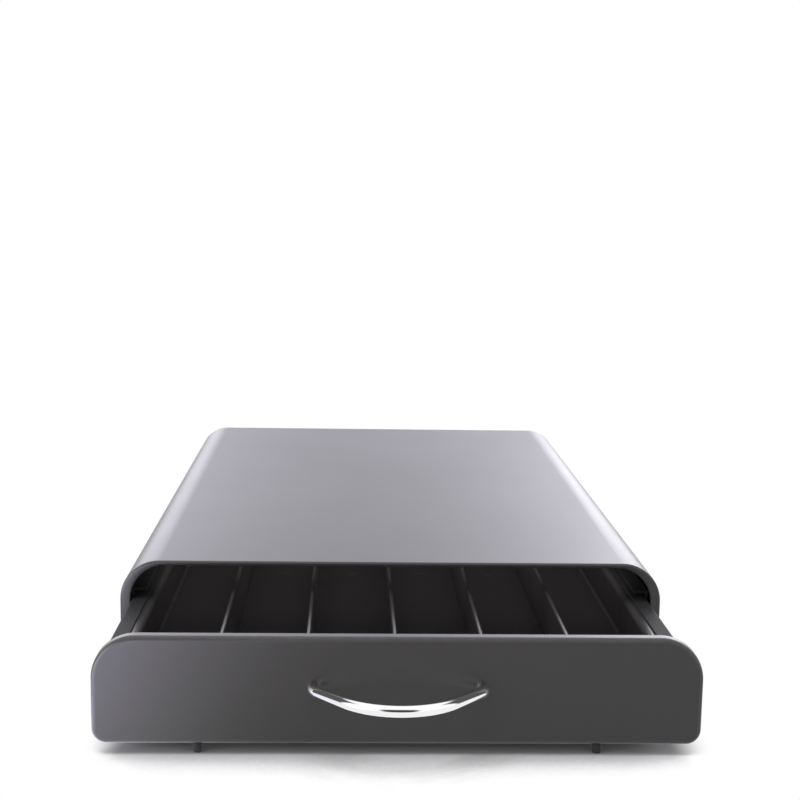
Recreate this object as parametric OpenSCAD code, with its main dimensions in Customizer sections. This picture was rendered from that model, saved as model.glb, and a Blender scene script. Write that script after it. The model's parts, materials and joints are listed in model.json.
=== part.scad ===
// Coffee pod drawer: a low sheet-steel housing that stands under a coffee machine,
// with a six-lane drawer that slides out of its mouth on plastic rails.
// Frame: X across the drawer, +Y towards the back, +Z up, the counter at Z = 0.
// X = 0 is the middle of the drawer, and Y = 0 the middle of its length with the drawer open.

/* [Housing] */
// Width over the side walls
housing_w = 276; // [272:1:284]
// Depth from the mouth to the rear flange
housing_d = 396; // [390:2:420]
// Height of the deck above the counter
housing_h = 55; // [54:0.5:62]
// Thickness of the sheet steel
sheet_t = 1.2; // [1:0.1:1.4]
// Outer radius of the long bends between deck and sides
deck_bend_r = 20; // [18:0.5:24]
// Width of the return flange down each side of the mouth
mouth_lip = 4.6; // [4:0.2:5]
// Corner radius of the mouth
mouth_r = 19; // [17:0.5:20]

/* [Drawer] */
// How far the drawer stands open
drawer_open = 114; // [20:2:200]
// Width of the drawer front
front_w = 264.5; // [262:0.5:266]
// Depth of the pressed drawer front, front to rim
front_depth = 6; // [6:0.5:8]
// Radius rolled round the edge of the drawer front
front_edge_r = 2; // [1.6:0.1:2.4]
// Upper corner radius of the drawer front
front_top_r = 19; // [16:0.5:20]
// Lower corner radius of the drawer front
front_low_r = 6.5; // [5:0.5:8]
// Length of the drawer, from its front face to its rear wall
drawer_len = 388; // [370:1:388]
// Travel of the drawer from shut to its stop
drawer_travel = 214; // [200:2:240]

/* [Lanes] */
// Number of lanes for pods
lane_count = 6; // [6:1:6]
// Distance from lane to lane
lane_pitch = 40.2; // [39:0.1:40.2]
// Height of the lane dividers above the tray floor
divider_h = 26; // [22:1:28]

/* [Handle] */
// Distance between the handle's two screws
handle_pitch = 74; // [72:0.2:75]
// Distance from the drawer front to the middle of the handle's rod
handle_reach = 26; // [26:0.5:30]
// Diameter of the handle's rod
handle_rod_d = 5.2; // [5:0.1:6]
// Height of the handle above the counter
handle_z = 30.2; // [28:0.2:34]

/* [Feet and glides] */
// Height of the rubber feet, which is the gap under the housing
foot_h = 5; // [5:0.5:6]
// Diameter of a rubber foot
foot_d = 14; // [12:0.5:15]
// Diameter of the glides under the drawer front
glide_d = 4; // [4:0.2:5]
// Distance between the two glides
glide_pitch = 174; // [120:2:200]

/* [Hidden] */
$fn = 64;
eps = 0.01;                                     // cutters run this far past a face
clear = 12;                                     // length of a cutter where nothing else is near

// bends, by their inside radius
fold_r = 1.5;
tight_fold_r = 0.6;

// the housing's places, X and Z
half_w = housing_w / 2;
inner_half_w = half_w - sheet_t;                // inside of the side walls
floor_flange_z = foot_h;                        // underside of the cover's bottom flanges
base_z = floor_flange_z + sheet_t;              // underside of the base plate
base_top = base_z + sheet_t;
cover_low_r = 2.5;                              // bend between side wall and bottom flange
floor_flange_w = 14;
rear_flange_w = 10;

// the lengthways places, Y
rivet_head_h = 0.9;
handle_front = handle_reach + handle_rod_d / 2; // how far the handle stands out in all
mouth_y = (drawer_open + handle_front - housing_d - rivet_head_h) / 2;
back_y = mouth_y + housing_d;
front_y = mouth_y - drawer_open;                // the drawer's front face
shut_room = 14;                                 // the shut drawer's front stands in it
base_front_y = mouth_y + shut_room;
panel_y = back_y - 2 * sheet_t;                 // inner face of the back panel

// the drawer's places
front_low = foot_h;                             // lower edge of the drawer front
front_drop = 2;                                 // the front's upper edge lies below the deck
front_high = housing_h - front_drop;
tray_lift = 4.1;                                // between the base plate and the tray's floor
tray_z = base_top + tray_lift;                  // underside of the tray floor
tray_top = tray_z + sheet_t;                    // the floor that the pods stand on
tray_half_w = lane_count * lane_pitch / 2;      // inside of the tray walls
tray_out_w = tray_half_w + sheet_t;
tray_front_y = front_y + sheet_t;               // the tray's front wall lies on the drawer front
tray_back_y = front_y + drawer_len;
runner_z = front_high - front_top_r - sheet_t;  // underside of the tray's side flanges
runner_inset = 0.6;
runner_half_w = front_w / 2 - runner_inset;     // edge of the side flanges
runner_y = front_y + front_depth + 1;           // the flanges start behind the front's rim
front_wall_h = 31;                              // of the tray

// the lane dividers
divider_t = 1;
hem_h = 4;                                      // doubled strip along a divider's top edge
nut_room = 5.3;                                 // between the tray's front wall and the dividers
divider_gap = 0.3;                              // between the dividers and the bend behind them
tab_len = 16;                                   // of the tabs that stand in the tray's floor
tab_inset = 36;                                 // of the first and last tab, to their middles
tab_ys = [tray_front_y + tab_inset, (tray_front_y + tray_back_y) / 2, tray_back_y - tab_inset];
slot_gap = 0.1;                                 // play round a tab, a rivet or a stem

// the slide: a nylon strip clipped over each flange, in a channel
strip_t = 1;
strip_w = 7;                                    // of the flange's width that the strip covers
strip_nose_r = 0.8;
slide_gap = 0.4;                                // clearance above and below the strip
rail_t = 1.6;
strip_cover = 0.5;                              // the strip's thickness over the flange's edge
channel_reach = 11.5;                           // from the housing's side to the legs' edge
rail_leg_in = half_w - channel_reach;           // inner edge of the channel's legs
rail_foot_in = rail_leg_in - 2;                 // inner edge of the rail's foot
side_gap = 0.6;                                 // between the strip and the channel's web
rail_web_x = runner_half_w + strip_cover + side_gap;    // inner face of the channel's web
rail_out = inner_half_w - 0.2;                  // the rail stands just clear of the side wall
rail_rib_z = base_top + 14;                     // a rib that braces the web on the side wall
rail_relief = 0.8;                              // how much the channel's mouth is opened up
channel_low = runner_z - strip_t - slide_gap;
channel_high = runner_z + sheet_t + strip_t + slide_gap;
rail_y0 = base_front_y;
rail_back_gap = 10;                             // the rails stop this far from the rear
rail_len = housing_d - shut_room - rail_back_gap;
rail_screw_x = half_w - 9;                      // also the middle of the feet

// fasteners
screw_r = 1.5;
screw_head_r = 2.9;
screw_head_h = 1.6;
screw_tip = 0.8;                                // what stands out past the nut
hole_r = 1.6;
nut_flats = 5.5;
nut_h = 2.4;
front_inset = 30;                               // of the front feet, from the mouth
rear_inset = 25;                                // of the rear feet, from the rear
foot_ys = [mouth_y + front_inset, back_y - rear_inset];
mid_screw_ys = [mouth_y + 145, mouth_y + 260];
front_stud_r = 1.5;
front_stud_len = 4.6;
front_stud_spots = [[-104, 20], [-104, 39], [104, 20], [104, 39]];   // X and Z
rivet_dome_r = 3;
rivet_inset = 6;                                // of the back panel's rivets from the edges
rivet_side_zs = [16, 34];
rivet_top_xs = [-80, 0, 80];

// back panel, bumpers and feet
panel_gap = 0.4;                                // between the back panel and the cover
panel_foot_w = 12;
panel_foot_end = 20;                            // the foot stops this far from the side walls
bumper_x = 90;
bumper_z = 24;
bumper_r = 6;
bumper_stem_r = 1.9;
foot_recess_r = 3.5;
foot_edge_r = 1;

// glides
glide_stem_r = 1.1;
glide_barb_r = 1.7;
glide_edge_r = 0.8;
glide_barb_h = 1.2;
glide_y = front_y + (front_edge_r + front_depth) / 2;   // in the flat of the front's lower rim

// the end stop: tabs on the base plate catch a bracket under the tray
stop_tab_x = 60;
stop_tab_w = 20;
stop_tab_h = 3.2;
stop_tab_y = base_front_y + 3;                  // front face of the tabs
lance_gap = 0.5;                                // the slots are this much wider than the tabs
bracket_w = 160;
bracket_foot = 14;
bracket_low = base_top + 0.8;
bracket_rivet_r = 1.2;
stop_y = stop_tab_y - mouth_y + front_y + sheet_t + drawer_travel + 0.5;

// the bow of the handle: its legs splay 45 degrees, and each foot bends back to meet the front
bow_r = 33;                                     // radius of the bow's middle line
bow_foot_r = bow_r - (handle_pitch / 2 - handle_reach) * (sqrt(2) + 1);
bow_leg = handle_pitch / sqrt(2) - bow_r - bow_foot_r * (sqrt(2) - 1);
bow_centre_y = front_y - handle_reach + bow_r;
handle_screw_r = 1.2;
handle_head_r = 2.5;
handle_hole_r = 1.4;
handle_tap_r = 1.25;
handle_tap_depth = 3.5;
washer_r = 3.5;
washer_t = 0.6;

// ---- shapes that repeat ----

// A flat outline in X and Z carried along +Y from y0
module along_y(y0, len) {
    translate([0, y0 + len, 0]) rotate([90, 0, 0]) linear_extrude(len) children();
}

// A flat outline in Y and Z carried along +X from x0
module along_x(x0, len) {
    translate([x0, 0, 0]) rotate([90, 0, 90]) linear_extrude(len) children();
}

// The children and their mirror image on the other side of X = 0
module both_sides() {
    for (side = [0, 1]) mirror([side, 0, 0]) children();
}

// A right-angle bend of the sheet about the origin: a quarter ring by its inside radius and
// the angle where it starts
module bend(r, from) {
    rotate(from) intersection() {
        difference() {
            circle(r = r + sheet_t);
            circle(r = r);
        }
        square(r + sheet_t);
    }
}

// Rounded outline, wider than high, with one radius above and another below
module outline(half, low, high, r_top, r_low) {
    translate([-half, low + r_low]) square([2 * half, high - low - r_top - r_low]);
    translate([-half + r_top, high - r_top]) square([2 * (half - r_top), r_top]);
    translate([-half + r_low, low]) square([2 * (half - r_low), r_low]);
    for (side = [-1, 1]) {
        translate([side * (half - r_top), high - r_top]) circle(r = r_top);
        translate([side * (half - r_low), low + r_low]) circle(r = r_low);
    }
}

// An arch that is open below, as the mouth is
module arch(half, high, r_top) {
    outline(half, -clear, high, r_top, 1);
}

// Section through a plate whose front edge is rolled: X outwards, front face at Y = 0
module rolled_section(reach, depth, edge_r) {
    translate([0, -depth]) square([reach - edge_r, depth]);
    translate([0, -depth]) square([reach, depth - edge_r]);
    translate([reach - edge_r, -edge_r]) circle(r = edge_r);
}

// One rolled edge, running along Y about the origin
module rolled_edge(len, reach, depth, edge_r) {
    rotate([90, 0, 0]) linear_extrude(len, center = true) rolled_section(reach, depth, edge_r);
}

// A plate with rounded corners and a rolled front edge, drawn face up with its face at Z = 0
module rolled_plate(half, low, high, r_top, r_low, depth, edge_r) {
    side_h = high - low - r_top - r_low;
    top_half = half - r_top;
    low_half = half - r_low;
    translate([-top_half, low + r_low, -depth]) cube([2 * top_half, side_h, depth]);
    translate([0, high - r_top, 0]) rotate([0, 0, 90])
        rolled_edge(2 * top_half, r_top, depth, edge_r);
    translate([0, low + r_low, 0]) rotate([0, 0, -90])
        rolled_edge(2 * low_half, r_low, depth, edge_r);
    both_sides() {
        translate([top_half, low + r_low + side_h / 2, 0])
            rolled_edge(side_h, r_top, depth, edge_r);
        translate([top_half, high - r_top, 0])
            rotate_extrude(angle = 90) rolled_section(r_top, depth, edge_r);
        translate([low_half, low + r_low, 0]) rotate([0, 0, -90])
            rotate_extrude(angle = 90) rolled_section(r_low, depth, edge_r);
    }
}

// Pan-head screw along +Z: the underside of its head at Z = 0, its shank going up
module pan_screw(r, head_r, head_h, len) {
    edge_r = 0.6;
    cylinder(r = r, h = len);
    rotate_extrude() {
        translate([0, -head_h]) square([head_r - edge_r, head_h]);
        translate([0, -head_h + edge_r]) square([head_r, head_h - edge_r]);
        translate([head_r - edge_r, -head_h + edge_r]) circle(r = edge_r);
    }
}

// Hexagon nut along +Z, with its seat at Z = 0
module hex_nut(flats, height, bore_r) {
    difference() {
        cylinder(d = flats / cos(30), h = height, $fn = 6);
        translate([0, 0, -eps]) cylinder(r = bore_r, h = height + 2 * eps);
    }
}

// Upright holes through the floor for every screw on one side
module floor_holes(side, high) {
    for (y = concat(foot_ys, mid_screw_ys))
        translate([side * rail_screw_x, y, 0]) cylinder(r = hole_r, h = high);
}

// ---- housing ----

// Outer outline of the cover
module cover_outline() {
    outline(half_w, floor_flange_z, housing_h, deck_bend_r, cover_low_r);
}

// Top and sides bent from one sheet, with return flanges at the mouth, the floor and the rear
module housing_cover() {
    color([0.13, 0.13, 0.14]) difference() {
        union() {
            along_y(mouth_y, housing_d) difference() {
                cover_outline();
                outline(inner_half_w, base_z, housing_h - sheet_t,
                        deck_bend_r - sheet_t, cover_low_r - sheet_t);
                translate([-half_w + floor_flange_w, 0])
                    square([2 * (half_w - floor_flange_w), base_z + eps]);
            }
            along_y(mouth_y, sheet_t) difference() {
                cover_outline();
                arch(half_w - mouth_lip, housing_h - sheet_t, mouth_r);
            }
            along_y(back_y - sheet_t, sheet_t) difference() {
                cover_outline();
                arch(half_w - rear_flange_w, housing_h - rear_flange_w,
                     deck_bend_r - rear_flange_w);
            }
        }
        // the floor flanges stop short of the mouth, so that the drawer front can shut
        translate([-half_w + mouth_lip, mouth_y - eps, floor_flange_z - eps])
            cube([2 * (half_w - mouth_lip), base_front_y - mouth_y, sheet_t + 2 * eps]);
        for (side = [-1, 1]) floor_holes(side, base_top);
        rivet_spots() cylinder(r = hole_r, h = clear, center = true);
    }
}

// Where the back panel's rivets go, with +Z pointing out of the rear flange
module rivet_spots() {
    for (side = [-1, 1], z = rivet_side_zs)
        translate([side * (half_w - rivet_inset), back_y, z]) rotate([-90, 0, 0]) children();
    for (x = rivet_top_xs)
        translate([x, back_y, housing_h - rivet_inset]) rotate([-90, 0, 0]) children();
}

// Floor of the housing, with two tabs lanced up as the drawer's end stop
module base_plate() {
    plate_half_w = inner_half_w - cover_low_r;
    slot_y = stop_tab_y - tight_fold_r;
    tab_low = base_top + tight_fold_r;
    color([0.12, 0.12, 0.13]) {
        difference() {
            translate([-plate_half_w, base_front_y, base_z])
                cube([2 * plate_half_w, panel_y - base_front_y, sheet_t]);
            for (side = [-1, 1]) {
                floor_holes(side, base_top + 1);
                translate([side * stop_tab_x - stop_tab_w / 2 - lance_gap, slot_y, base_z - 1])
                    cube([stop_tab_w + 2 * lance_gap, stop_tab_h + 2 * sheet_t, sheet_t + 2]);
            }
        }
        for (side = [-1, 1]) along_x(side * stop_tab_x - stop_tab_w / 2, stop_tab_w) {
            translate([slot_y, tab_low]) bend(tight_fold_r, -90);
            translate([stop_tab_y, tab_low]) square([sheet_t, stop_tab_h - tight_fold_r]);
        }
    }
}

// Rear wall, riveted inside the cover's rear flange, with a foot along the base plate
module back_panel() {
    foot_half_w = inner_half_w - panel_foot_end;
    foot_top = base_top + sheet_t;
    bend_y = panel_y - tight_fold_r;
    color([0.12, 0.12, 0.13]) {
        difference() {
            along_y(panel_y, sheet_t)
                outline(inner_half_w - panel_gap, base_top, housing_h - sheet_t - panel_gap,
                        deck_bend_r - sheet_t - panel_gap, 1);
            translate([-foot_half_w, panel_y - eps, base_top - eps])
                cube([2 * foot_half_w, sheet_t + 2 * eps, sheet_t + tight_fold_r + eps]);
            rivet_spots() cylinder(r = hole_r, h = clear, center = true);
            bumper_spots() cylinder(r = bumper_stem_r + slot_gap, h = clear, center = true);
        }
        along_x(-foot_half_w, 2 * foot_half_w) {
            translate([bend_y, foot_top + tight_fold_r]) bend(tight_fold_r, -90);
            translate([panel_y - panel_foot_w, base_top])
                square([panel_foot_w - tight_fold_r, sheet_t]);
        }
    }
}

// Where the bumpers sit, with +Z pointing at the drawer
module bumper_spots() {
    for (side = [-1, 1])
        translate([side * bumper_x, panel_y, bumper_z]) rotate([90, 0, 0]) children();
}

// Plastic extrusion along the side wall: a foot, a web with a rib, and the strip's channel
module guide_rail(side) {
    channel_h = channel_high - channel_low;
    color([0.16, 0.16, 0.17]) mirror([side < 0 ? 1 : 0, 0, 0]) difference() {
        along_y(rail_y0, rail_len) {
            translate([rail_web_x, base_top]) square([rail_t, channel_high + rail_t - base_top]);
            translate([rail_foot_in, base_top]) square([rail_out - rail_foot_in, rail_t]);
            for (z = [channel_low - rail_t, channel_high])
                translate([rail_leg_in, z]) square([rail_web_x + rail_t - rail_leg_in, rail_t]);
            translate([rail_web_x, rail_rib_z]) square([rail_out - rail_web_x, rail_t]);
        }
        floor_holes(1, base_top + 2 * rail_t);
        // the mouth of the channel is relieved, so that the strip finds its way in
        translate([rail_leg_in - 1, rail_y0, (channel_low + channel_high) / 2]) rotate([0, 90, 0])
            cylinder(r = channel_h / 2 + rail_relief, h = rail_web_x - rail_leg_in + 1);
    }
}

// Rubber foot with a recess for its screw
module rubber_foot(x, y) {
    color([0.07, 0.07, 0.07]) translate([x, y, 0]) rotate_extrude() difference() {
        union() {
            translate([0, foot_edge_r]) square([foot_d / 2, foot_h - foot_edge_r]);
            square([foot_d / 2 - foot_edge_r, foot_h]);
            translate([foot_d / 2 - foot_edge_r, foot_edge_r]) circle(r = foot_edge_r);
        }
        translate([0, -1]) square([hole_r, foot_h + 2]);
        translate([0, -1]) square([foot_recess_r, 1 + foot_h / 2]);
    }
}

// Screws up through the floor at some places along Y, with the seat of their heads at a height
module floor_screws(ys, seat_z) {
    color([0.72, 0.72, 0.7]) for (side = [-1, 1], y = ys)
        translate([side * rail_screw_x, y, seat_z])
            pan_screw(screw_r, screw_head_r, screw_head_h,
                      base_top + rail_t + nut_h + screw_tip - seat_z);
}

// Nuts on the rails' feet, one for every screw through the floor
module frame_nuts() {
    color([0.72, 0.72, 0.7]) for (side = [-1, 1], y = concat(foot_ys, mid_screw_ys))
        translate([side * rail_screw_x, y, base_top + rail_t])
            hex_nut(nut_flats, nut_h, hole_r);
}

// Blind rivets: a low dome outside the rear flange and a shank through both sheets
module back_panel_rivets() {
    sphere_r = (rivet_dome_r * rivet_dome_r + rivet_head_h * rivet_head_h) / (2 * rivet_head_h);
    tail = 2;
    shank = 2 * sheet_t + tail;
    color([0.14, 0.14, 0.15]) rivet_spots() {
        intersection() {
            translate([0, 0, rivet_head_h - sphere_r]) sphere(r = sphere_r);
            cylinder(r = rivet_dome_r + 1, h = rivet_head_h + 1);
        }
        translate([0, 0, -shank]) cylinder(r = screw_r, h = shank + eps);
    }
}

// Rubber bumper with a stud through the back panel
module rear_bumper(side) {
    body_h = 2.6;
    tip_h = 2.4;
    tip_taper = 1.4;
    color([0.07, 0.07, 0.07])
        translate([side * bumper_x, panel_y, bumper_z]) rotate([90, 0, 0]) {
            cylinder(r = bumper_r, h = body_h);
            translate([0, 0, body_h]) cylinder(r1 = bumper_r, r2 = bumper_r - tip_taper, h = tip_h);
            translate([0, 0, -1]) cylinder(r = bumper_stem_r, h = 1 + eps);
        }
}

// ---- drawer ----

// Folded tray: floor, end walls, and sides with flanges turned out as runners. Its corners are
// notched where two bends would meet.
module drawer_tray() {
    floor_half_w = tray_half_w - fold_r;
    floor_y0 = tray_front_y + sheet_t + fold_r;
    floor_y1 = tray_back_y - sheet_t - fold_r;
    wall_z = tray_top + fold_r;
    color([0.12, 0.12, 0.13]) difference() {
        union() {
            along_y(floor_y0, floor_y1 - floor_y0) {
                translate([-floor_half_w, tray_z]) square([2 * floor_half_w, sheet_t]);
                both_sides() translate([floor_half_w, wall_z]) bend(fold_r, -90);
            }
            along_y(tray_front_y + sheet_t - eps, tray_back_y - tray_front_y - 2 * sheet_t + 2 * eps)
                both_sides() translate([tray_half_w, wall_z])
                    square([sheet_t, runner_z - fold_r - wall_z]);
            along_y(runner_y, tray_back_y - sheet_t - runner_y) both_sides() {
                translate([tray_out_w + fold_r, runner_z - fold_r]) bend(fold_r, 90);
                translate([tray_out_w + fold_r, runner_z])
                    square([runner_half_w - tray_out_w - fold_r, sheet_t]);
            }
            along_x(-floor_half_w, 2 * floor_half_w) {
                translate([floor_y0, wall_z]) bend(fold_r, 180);
                translate([floor_y1, wall_z]) bend(fold_r, -90);
            }
            translate([-tray_out_w, tray_front_y, wall_z])
                cube([2 * tray_out_w, sheet_t, tray_z + front_wall_h - wall_z]);
            translate([-tray_out_w, tray_back_y - sheet_t, wall_z])
                cube([2 * tray_out_w, sheet_t, tray_z + divider_h - wall_z]);
        }
        for (index = [1:lane_count - 1])
            translate([divider_x(index), 0, 0]) divider_tabs(slot_gap, tray_z - 1, tray_top + 1);
        front_stud_places() cylinder(r = hole_r, h = clear, center = true);
        handle_screw_places() cylinder(r = handle_hole_r, h = clear, center = true);
        stop_rivet_places() cylinder(r = bracket_rivet_r + slot_gap, h = clear, center = true);
    }
}

// Middle of a divider, the first one between the first and the second lane
function divider_x(index) = (index - lane_count / 2) * lane_pitch;

// The tabs of one divider. With a gap on every side they cut the slots for the tabs.
module divider_tabs(gap, low, high) {
    for (y = tab_ys)
        translate([-divider_t / 2 - gap, y - tab_len / 2 - gap, low])
            cube([divider_t + 2 * gap, tab_len + 2 * gap, high - low]);
}

// A lane divider: a strip with a doubled top edge, whose tabs stand in slots of the tray's floor.
// It stops short of the nuts and screw heads on the tray's front wall.
module lane_divider(index) {
    y0 = tray_front_y + sheet_t + nut_room;
    y1 = tray_back_y - sheet_t - fold_r - divider_gap;
    web = divider_t / 2;
    top = tray_top + divider_h - divider_t;
    color([0.14, 0.14, 0.15]) translate([divider_x(index), 0, 0]) {
        along_y(y0, y1 - y0) {
            translate([-web, tray_top]) square([divider_t, top - tray_top]);
            translate([-web - divider_t, top - hem_h]) square([divider_t, hem_h]);
            intersection() {
                translate([-web, top]) circle(r = divider_t);
                translate([-web - divider_t, top]) square(2 * divider_t);
            }
        }
        divider_tabs(0, tray_z, tray_top + eps);
    }
}

// Drawer front: a pan pressed from sheet with its edge rolled back all round
module drawer_front() {
    color([0.15, 0.145, 0.14]) {
        translate([0, front_y, 0]) rotate([90, 0, 0]) difference() {
            rolled_plate(front_w / 2, front_low, front_high, front_top_r, front_low_r,
                         front_depth, front_edge_r);
            translate([0, 0, -sheet_t])
                rolled_plate(front_w / 2 - sheet_t, front_low + sheet_t, front_high - sheet_t,
                             front_top_r - sheet_t, front_low_r - sheet_t,
                             front_depth, front_edge_r - sheet_t);
            for (side = [-1, 1]) {
                translate([side * handle_pitch / 2, handle_z, 0])
                    cylinder(r = handle_hole_r, h = clear, center = true);
                translate([side * glide_pitch / 2, front_low, front_y - glide_y])
                    rotate([90, 0, 0])
                        cylinder(r = glide_stem_r + slot_gap, h = 3 * sheet_t, center = true);
            }
        }
        front_stud_places() translate([0, 0, -eps]) cylinder(r = front_stud_r, h = front_stud_len);
    }
}

// Where studs stand on the inside of the drawer front, with +Z pointing into the tray
module front_stud_places() {
    for (spot = front_stud_spots)
        translate([spot[0], front_y + sheet_t, spot[1]]) rotate([-90, 0, 0]) children();
}

module front_nuts() {
    color([0.72, 0.72, 0.7]) front_stud_places()
        translate([0, 0, sheet_t]) hex_nut(nut_flats, nut_h, hole_r);
}

// Where the handle's screws pass through both sheets, with +Z pointing out of the drawer
module handle_screw_places() {
    for (side = [-1, 1])
        translate([side * handle_pitch / 2, front_y + 2 * sheet_t, handle_z])
            rotate([90, 0, 0]) children();
}

// A quarter turn or less of the handle's rod, from the -X axis towards -Y
module rod_bend(r, turn) {
    rotate([0, 0, 180]) rotate_extrude(angle = turn) translate([r, 0]) circle(d = handle_rod_d);
}

// Chrome rod bent to a bow and tapped at both ends: drawn with its legs along X and Y,
// then turned by 45 degrees
module handle_bow() {
    color([0.8, 0.8, 0.82]) difference() {
        translate([0, bow_centre_y, handle_z]) rotate([0, 0, 45]) {
            rod_bend(bow_r, 90);
            for (side = [0, 1]) mirror([side, -side, 0]) translate([-bow_r, 0, 0]) {
                rotate([-90, 0, 0]) cylinder(d = handle_rod_d, h = bow_leg);
                translate([0, bow_leg, 0]) translate([bow_foot_r, 0, 0])
                    mirror([0, 1, 0]) rod_bend(bow_foot_r, 45);
            }
        }
        for (side = [-1, 1])
            translate([side * handle_pitch / 2, front_y + 1, handle_z])
                rotate([90, 0, 0]) cylinder(r = handle_tap_r, h = 1 + handle_tap_depth);
    }
}

module handle_screws() {
    tap_room = 0.3;                             // left between the screw's tip and the tap's end
    reach = washer_t + 2 * sheet_t + handle_tap_depth - tap_room;
    color([0.72, 0.72, 0.7]) handle_screw_places()
        translate([0, 0, -washer_t]) pan_screw(handle_screw_r, handle_head_r, screw_head_h, reach);
}

module handle_washers() {
    color([0.72, 0.72, 0.7]) handle_screw_places()
        translate([0, 0, -washer_t]) difference() {
            cylinder(r = washer_r, h = washer_t);
            translate([0, 0, -eps]) cylinder(r = handle_hole_r, h = washer_t + 2 * eps);
        }
}

// Nylon glide pressed into the lower edge of the drawer front, so that it rides on the counter
module front_glide(side) {
    color([0.1, 0.1, 0.1])
        translate([side * glide_pitch / 2, glide_y, 0]) rotate_extrude() {
            translate([0, glide_edge_r]) square([glide_d / 2, front_low - glide_edge_r]);
            square([glide_d / 2 - glide_edge_r, front_low]);
            translate([glide_d / 2 - glide_edge_r, glide_edge_r]) circle(r = glide_edge_r);
            translate([0, front_low - eps]) square([glide_stem_r, sheet_t + 2 * eps]);
            translate([0, front_low + sheet_t]) square([glide_barb_r, glide_barb_h]);
        }
}

// Nylon strip of U section clipped over a side flange, with its outer edge rounded
module slide_strip(side) {
    outer = runner_half_w + strip_cover;
    inner = runner_half_w - strip_w;
    low = runner_z - strip_t;
    high = runner_z + sheet_t + strip_t;
    y0 = runner_y + 0.5;
    color([0.2, 0.2, 0.2]) mirror([side < 0 ? 1 : 0, 0, 0])
        along_y(y0, tray_back_y - sheet_t - y0) difference() {
            union() {
                translate([inner, low]) square([outer - strip_nose_r - inner, high - low]);
                translate([inner, low + strip_nose_r])
                    square([outer - inner, high - low - 2 * strip_nose_r]);
                for (z = [low + strip_nose_r, high - strip_nose_r])
                    translate([outer - strip_nose_r, z]) circle(r = strip_nose_r);
            }
            translate([inner - 1, runner_z]) square([runner_half_w - inner + 1, sheet_t]);
        }
}

// Bent strip under the tray that meets the tabs when the drawer is fully out
module stop_bracket() {
    bend_y = stop_y + sheet_t + tight_fold_r;
    bend_z = tray_z - sheet_t - tight_fold_r;
    color([0.12, 0.12, 0.13]) difference() {
        along_x(-bracket_w / 2, bracket_w) {
            translate([stop_y, bracket_low]) square([sheet_t, bend_z - bracket_low]);
            translate([bend_y, bend_z]) bend(tight_fold_r, 90);
            translate([bend_y, tray_z - sheet_t])
                square([stop_y + bracket_foot - bend_y, sheet_t]);
        }
        stop_rivet_places() cylinder(r = bracket_rivet_r + slot_gap, h = clear, center = true);
    }
}

// Where the bracket's rivets go, with +Z pointing down under the tray
module stop_rivet_places() {
    for (lane = [-1.5, -0.5, 0.5, 1.5])
        translate([lane * lane_pitch, stop_y + bracket_foot / 2 + 1, tray_z])
            rotate([180, 0, 0]) children();
}

module stop_bracket_rivets() {
    head_r = 2.2;
    low_head_h = 0.5;
    high_head_h = 0.6;
    color([0.14, 0.14, 0.15]) stop_rivet_places() {
        translate([0, 0, -sheet_t - low_head_h]) cylinder(r = head_r, h = low_head_h);
        translate([0, 0, -sheet_t - eps])
            cylinder(r = bracket_rivet_r, h = 2 * sheet_t + 2 * eps);
        translate([0, 0, sheet_t]) cylinder(r = head_r, h = high_head_h);
    }
}

housing_cover();
base_plate();
back_panel();
guide_rail(-1);  // left_guide_rail
guide_rail(1);  // right_guide_rail
rubber_foot(-rail_screw_x, foot_ys[0]);  // front_left_foot
rubber_foot(rail_screw_x, foot_ys[0]);  // front_right_foot
rubber_foot(-rail_screw_x, foot_ys[1]);  // rear_left_foot
rubber_foot(rail_screw_x, foot_ys[1]);  // rear_right_foot
floor_screws(foot_ys, foot_h / 2);  // foot_screws
floor_screws(mid_screw_ys, floor_flange_z);  // base_screws
frame_nuts();
back_panel_rivets();
rear_bumper(-1);  // left_rear_bumper
rear_bumper(1);  // right_rear_bumper
drawer_tray();
lane_divider(1);  // lane_divider_1
lane_divider(2);  // lane_divider_2
lane_divider(3);  // lane_divider_3
lane_divider(4);  // lane_divider_4
lane_divider(5);  // lane_divider_5
drawer_front();
front_nuts();
handle_bow();
handle_screws();
handle_washers();
front_glide(-1);  // left_front_glide
front_glide(1);  // right_front_glide
slide_strip(-1);  // left_slide_strip
slide_strip(1);  // right_slide_strip
stop_bracket();
stop_bracket_rivets();
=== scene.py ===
# %% [markdown]
# # A drawer for coffee pods
#
# The unit stands under a coffee machine: a low housing bent from one sheet of steel, and a
# drawer with six lanes that slides out of its mouth. Every measured part arrives as a fixed
# frame, so nothing here moves or resizes it. What this lesson adds is what the eye meets:
# sheet edges that are round and catch the light, a coat with a fine grain, a bright handle.

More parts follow.
